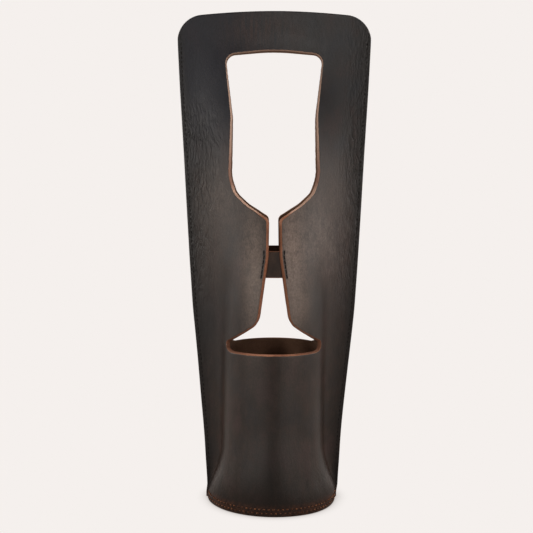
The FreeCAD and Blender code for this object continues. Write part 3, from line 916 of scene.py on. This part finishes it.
def make_panel(name, facing):
    """One panel with its cut-out, trimmed edges, swell and creases."""
    edges = ((trimmed(panel_outline(), 1, RIM_PROFILE), 1, RUBBED_EDGE), (glass_rows(), -1, CUT_EDGE))
    seed = PANEL_SEEDS[facing]
    piece = sheet_piece(f"{name}_leather", edges, (0.0, FLESH_SKIN), facing, seed, LEATHER, sway)
    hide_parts(name)
    return piece


make_panel("front_panel", FRONT)
make_panel("back_panel", BACK)

# Strap: radius of its corners, spacing of its outline, and profile of its edge
STRAP_CORNER, STRAP_STEP = 1.5, 1.0
STRAP_PROFILE = ((0.5, 0), (0.2, 0.06), (0.0, 0.35), (0.0, 0.75), (0.2, 1.0))


def make_strap(name, facing, seed):
    """Bridge strap that follows the inner face behind the stem."""
    corners = [(sx * STRAP_HALF, z, STRAP_CORNER) for sx, z in
               ((1, STRAP_HIGH), (1, STRAP_LOW), (-1, STRAP_LOW), (-1, STRAP_HIGH))]
    loop = resampled(rounded(corners), STRAP_STEP)
    skins = (STRAP_SEAT, STRAP_SEAT + STRAP_THICK)
    edges = ((trimmed(loop, 1, STRAP_PROFILE), 1, CUT_EDGE),)
    piece = sheet_piece(f"{name}_leather", edges, skins, facing, seed, STRAP_LEATHER, None)
    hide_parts(name)
    return piece


make_strap("front_bridge_strap", FRONT, 8)
make_strap("back_bridge_strap", BACK, 9)

# Base, from the foot of its rim over the top to the middle and back underneath: inset and height
BEND, BEND_Z = 3, 6
BENDS = np.linspace(0.2, math.pi / 2, 7)
BASE_OVER = (
    (0.35, 0.0), (0.0, 0.4), (0.0, 3.0), (0.0, 5.9),
    *((BEND - BEND * math.cos(a), BEND_Z + BEND * math.sin(a)) for a in BENDS),
    (6.0, 9.0), (12.0, 9.0), (24.0, 9.0), (36.0, 9.0),
)
BASE_UNDER = (
    (36.0, 6.0), (24.0, 6.0), (12.0, 6.0), (6.0, 6.0), (4.2, 5.9),
    (3.2, 5.2), (3.0, 4.0), (3.0, 0.4), (2.65, 0.0),
)

# Clearance to the wall, sides of the round, how soon it evens out at the seams, and its place in the grain
BASE_CLEAR = 0.2
BASE_SIDES = 144
SEAM_EASE = 8
BASE_SHIFT = (0.3, 0.2)


def make_base():
    """Round bottom with its rim turned down inside the wall."""
    _, depth, _, _, crown, _ = section(0.0)
    reach = crown - THICK - BASE_CLEAR
    shift = depth - crown
    outline = BASE_OVER + BASE_UNDER
    verts, faces = [], []
    for inset, z in outline:
        for k in range(BASE_SIDES):
            angle = 2 * math.pi * k / BASE_SIDES
            side = math.copysign(shift, math.sin(angle)) * min(1, abs(math.sin(angle)) * SEAM_EASE)
            radius = reach - inset
            x = radius * math.cos(angle) + lean(z, math.asin(math.cos(angle)) * 2 / math.pi)
            verts.append((x * MM, (radius * math.sin(angle) + side) * MM, z * MM))
    over_end, under_start = len(BASE_OVER) - 1, len(BASE_OVER)
    for row in range(len(outline)):
        if row == over_end:
            continue
        here, after = row * BASE_SIDES, (row + 1) % len(outline) * BASE_SIDES
        for k in range(BASE_SIDES):
            n = (k + 1) % BASE_SIDES
            faces.append((here + k, here + n, after + n, after + k))
    for row in (over_end, under_start):
        verts.append((0, 0, outline[row][1] * MM))
        for k in range(BASE_SIDES):
            faces.append((row * BASE_SIDES + k, row * BASE_SIDES + (k + 1) % BASE_SIDES, len(verts) - 1))
    mesh = bpy.data.meshes.new("base_leather")
    mesh.from_pydata(verts, [], faces)
    work = bmesh.new()
    work.from_mesh(mesh)
    bmesh.ops.recalc_face_normals(work, faces=work.faces)
    layer = work.loops.layers.uv.new("sheet")
    for face in work.faces:
        face.smooth = True
        for loop in face.loops:
            loop[layer].uv = loop.vert.co.xy + Vector(BASE_SHIFT)
    work.to_mesh(mesh)
    work.free()
    mesh.materials.append(FLESH)
    piece = placed(bpy.data.objects.new("base_leather", mesh))
    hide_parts("base")
    return piece


make_base()

# Stitches: rings and sides of one, how it arches and sinks, thins and twists, and how far it may stray
STITCH_RINGS, STITCH_SIDES = 9, 8
ARCH, SINK, THIN, LOBES, TWIST = 0.45, 1.35, 0.35, 0.14, 2.6
STRAY_TURN, STRAY_LENGTH, STRAY_BULK, STRAY_PLACE = (-5, 5), (-0.06, 0.05), (-0.07, 0.04), (-0.1, 0.1)


def stitch_rows(name, node_name, finish, spots, length, radius, stray=1.0):
    """One mesh of separate stitches; spots are (middle, along, outward) in mm, stray how uneven."""
    chance = random.Random(name)
    rings, sides = STITCH_RINGS, STITCH_SIDES
    verts, faces = [], []
    for middle, along, outward in spots:
        turn = Matrix.Rotation(math.radians(chance.uniform(*STRAY_TURN)) * stray, 3, Vector(outward))
        along = turn @ Vector(along).normalized()
        outward = Vector(outward).normalized()
        aside = outward.cross(along)
        half = length / 2 * (1 + stray * chance.uniform(*STRAY_LENGTH))
        twist = chance.uniform(0, math.pi)
        bulk = radius * (1 + stray * chance.uniform(*STRAY_BULK))
        middle = Vector(middle) + along * (stray * chance.uniform(*STRAY_PLACE))
        start = len(verts)
        for ring in range(rings):
            share = 2 * ring / (rings - 1) - 1
            rise = bulk * (ARCH - SINK * abs(share) ** 3)
            girth = bulk * (1 - THIN * abs(share) ** 4)
            here = middle + along * (share * half) + outward * rise
            for side in range(sides):
                angle = 2 * math.pi * side / sides
                lobe = girth * (1 + LOBES * math.cos(2 * (angle - twist - TWIST * share)))
                verts.append((here + (outward * math.cos(angle) + aside * math.sin(angle)) * lobe) * MM)
        for ring in range(rings - 1):
            a, b = start + ring * sides, start + (ring + 1) * sides
            for side in range(sides):
                after = (side + 1) % sides
                faces.append((a + side, b + side, b + after, a + after))
        faces.append(tuple(start + side for side in range(sides)))
        faces.append(tuple(start + (rings - 1) * sides + side for side in reversed(range(sides))))
    mesh = bpy.data.meshes.new(name)
    mesh.from_pydata([tuple(v) for v in verts], [], faces)
    mesh.polygons.foreach_set("use_smooth", [True] * len(mesh.polygons))
    mesh.materials.append(finish)
    piece = placed(bpy.data.objects.new(name, mesh))
    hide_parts(node_name)
    return piece


def on_wall(q, z, facing, lift):
    """Place, direction across, direction up and outward on a panel's outer face, in millimetres."""
    step = 0.5
    qs = np.array((q, q - step, q + step, q, q))
    zs = np.array((z, z, z, z - step, z + step))
    spots = wall_point(qs, zs, -lift)
    spots[:, 1] *= -facing
    across_it = Vector(spots[2] - spots[1]).normalized()
    up = Vector(spots[4] - spots[3]).normalized()
    outward = across_it.cross(up).normalized() * -facing
    return Vector(spots[0]), across_it, up, outward


def row_marks(start, end):
    """Middles of a row's stitches, about a pitch apart."""
    count = max(round(abs(end - start) / PITCH), 1)
    return [start + (end - start) * (k + 0.5) / count for k in range(count)]


# Start and sink of the seam's rows; overrun and slant of the strap's rows, and the height of their bend
SEAM_START, SEAM_SINK = 30.0, 0.25
ROW_UNDER, ROW_OVER = 0.2, 0.9
ROW_SLANT, ROW_STRAIGHT = 0.17, 195

# Stitch rows of the base: word, height and shift along the row in pitches
BASE_ROWS = (("lower", 2.8, -0.25), ("upper", 5.7, 0.25))


def seam_spots(side):
    """Stitches of a side seam, on both panels, in a groove."""
    spots = []
    for z in row_marks(SEAM_START, TOP - TOP_CORNER - SEAM_INSET):
        q = side * HALF * (1 - SEAM_INSET / sheet_length(z))
        for facing in (FRONT, BACK):
            middle, _, up, outward = on_wall(q, z, facing, -SEAM_SINK)
            spots.append((middle, up, outward))
    return spots


def base_spots(z, shift):
    """Stitches of one row round the foot, moved along it by a share of the pitch."""
    spots = []
    _, _, _, turn, crown, _ = section(np.array(z))
    reach = crown * turn - PITCH / 2
    for facing in (FRONT, BACK):
        for run in row_marks(-reach, reach):
            q = (run + shift * PITCH) * HALF / sheet_length(z)
            middle, along, _, outward = on_wall(q, z, facing, 0.0)
            spots.append((middle, along, outward))
    return spots


def strap_spots(side, facing):
    """Stitches of one row that holds a strap, along the slit and slanting with its flare."""
    spots = []
    for z in row_marks(STRAP_LOW - ROW_UNDER, STRAP_HIGH + ROW_OVER):
        slit = NECK_HALF + SLIT_FLARE * max(NECK_Z - z, 0)
        q = float(across(np.array(side * (slit + STRAP_ROW_INSET)), np.array(z), 0.0))
        lift = float(sway(np.array([q]), np.array([z]), PANEL_SEEDS[facing])[0])
        middle, across_it, up, outward = on_wall(q, z, facing, lift)
        slant = -ROW_SLANT * side if z < ROW_STRAIGHT else 0
        spots.append((middle, up + across_it * slant, outward))
    return spots


for word, side in (("left", -1), ("right", 1)):
    stitch_rows(f"{word}_seam_stitches", f"{word}_seam_thread", SEAM_THREAD,
                seam_spots(side), length=2.4, radius=0.3)
    for facing, face in ((FRONT, "front"), (BACK, "back")):
        stitch_rows(f"{face}_strap_stitches_{word}", f"{face}_strap_thread_{word}",
                    DARK_THREAD, strap_spots(side, facing), length=3.3, radius=0.46)
for word, z, shift in BASE_ROWS:
    stitch_rows(f"base_stitches_{word}", f"base_thread_{word}", COPPER_THREAD,
                base_spots(z, shift), length=2.0, radius=0.55, stray=2.5)

# Stage, light and camera
PALE = (0.913, 0.871, 0.847)
FLOOR_SHADE, FLOOR_DIM = (0.30, 0.27, 0.25), (0.35, 0.33, 0.32, 1)
FLOOR_RADIUS, FLOOR_SIDES, SHADE_REACH = 12, 64, 0.014
SKY_COLOUR, SKY_STRENGTH = (0.93, 0.95, 1.0, 1), 0.03

# Soft boxes: name, azimuth from the camera's side to the right, elevation, size and power
BOXES = (
    ("left_front_box", -40, 4, (1.5, 0.28), 4.6),
    ("right_front_box", 42, 4, (1.5, 0.28), 4.0),
    ("upper_front_box", 8, 24, (0.8, 0.28), 2.0),
    ("left_side_box", -95, 29, (0.4, 0.3), 16),
    ("right_side_box", 88, 29, (0.6, 0.3), 16),
    ("low_left_box", -90, 4, (0.6, 0.3), 1.6),
    ("low_right_box", 90, 4, (0.6, 0.3), 1.8),
    ("left_rim_box", -128, 4, (0.5, 0.3), 4),
    ("right_rim_box", 128, 4, (0.5, 0.3), 4),
    ("rear_box", 180, 30, (1.2, 0.5), 5),
)
BOX_COLOUR, BOX_AIM, BOX_DISTANCE = (1, 0.95, 0.9), (0, 0, 0.2), 1.5

# Camera: place, degrees down, degrees of roll, lens and sensor
CAMERA_PLACE = (-0.00565, -0.754, 0.249)
CAMERA_DOWN, CAMERA_ROLL = 5.07, 0.1
CAMERA_LENS, CAMERA_SENSOR = 65.8, 36.0


def seen_and_lit(tree, seen, lit, output):
    """One shader for what the camera sees and another for the light that falls on the carrier."""
    path = node(tree, "LightPath").outputs["Is Camera Ray"]
    whole = node(tree, "MixShader", {0: path, 1: lit, 2: seen}).outputs[0]
    fed(tree.nodes[output], {"Surface": whole})


def make_floor():
    """Pale floor that glows for the camera, with a soft contact shadow painted from ambient occlusion near
    the carrier.
    """
    mesh = bpy.data.meshes.new("floor")
    turns = np.linspace(0, 2 * math.pi, FLOOR_SIDES, endpoint=False)
    ring = [(FLOOR_RADIUS * math.cos(a), FLOOR_RADIUS * math.sin(a), 0) for a in turns]
    mesh.from_pydata(ring, [], [tuple(range(FLOOR_SIDES))])
    made, tree, shader = material("pale_floor")
    tree.nodes.remove(shader)
    # Painted contact shadow: the glow darkens where ambient occlusion finds the carrier close
    open_sky = node(tree, "AmbientOcclusion", {"Distance": SHADE_REACH}, samples=16).outputs["AO"]
    shade = mixed(spread(open_sky, 0.0, 0.95), FLOOR_SHADE, PALE)
    seen = node(tree, "Emission", {"Color": shade, "Strength": 1.0}).outputs[0]
    dim = node(tree, "BsdfDiffuse", {"Color": FLOOR_DIM}).outputs[0]
    seen_and_lit(tree, seen, dim, "Material Output")
    mesh.materials.append(made)
    floor = bpy.data.objects.new("floor", mesh)
    bpy.context.scene.collection.objects.link(floor)


def make_world():
    """Even pale surround to look at, and a dimmer one to light by."""
    world = bpy.data.worlds.new("studio")
    bpy.context.scene.world = world
    world.use_nodes = True
    tree = world.node_tree
    shown = tree.nodes["Background"]
    shown.inputs["Color"].default_value = (*PALE, 1)
    lit = node(tree, "Background", {"Color": SKY_COLOUR, "Strength": SKY_STRENGTH}).outputs[0]
    seen_and_lit(tree, shown.outputs[0], lit, "World Output")


def soft_light(name, azimuth, elevation, size, power):
    """Soft box aimed at the carrier."""
    data = bpy.data.lights.new(name, "AREA")
    data.shape = "RECTANGLE"
    data.size, data.size_y = size
    data.energy = power
    data.color = BOX_COLOUR
    lamp = bpy.data.objects.new(name, data)
    a, e = math.radians(azimuth), math.radians(elevation)
    back = Vector((math.sin(a) * math.cos(e), -math.cos(a) * math.cos(e), math.sin(e)))
    lamp.location = Vector(BOX_AIM) + back * BOX_DISTANCE
    lamp.rotation_mode = "QUATERNION"
    lamp.rotation_quaternion = (-back).to_track_quat("-Z", "Y")
    bpy.context.scene.collection.objects.link(lamp)


def make_camera():
    """Camera in front, a little to the left and turned 5 degrees down."""
    data = bpy.data.cameras.new("camera")
    data.sensor_width = CAMERA_SENSOR
    data.lens = CAMERA_LENS
    camera = bpy.data.objects.new("camera", data)
    tilt = Matrix.Rotation(math.radians(90 - CAMERA_DOWN), 4, "X")
    roll = Matrix.Rotation(math.radians(CAMERA_ROLL), 4, "Z")
    camera.matrix_world = Matrix.Translation(CAMERA_PLACE) @ (tilt @ roll)
    bpy.context.scene.collection.objects.link(camera)
    bpy.context.scene.camera = camera


make_floor()
make_world()
for box in BOXES:
    soft_light(*box)
make_camera()
bpy.context.scene.view_settings.view_transform = "Standard"
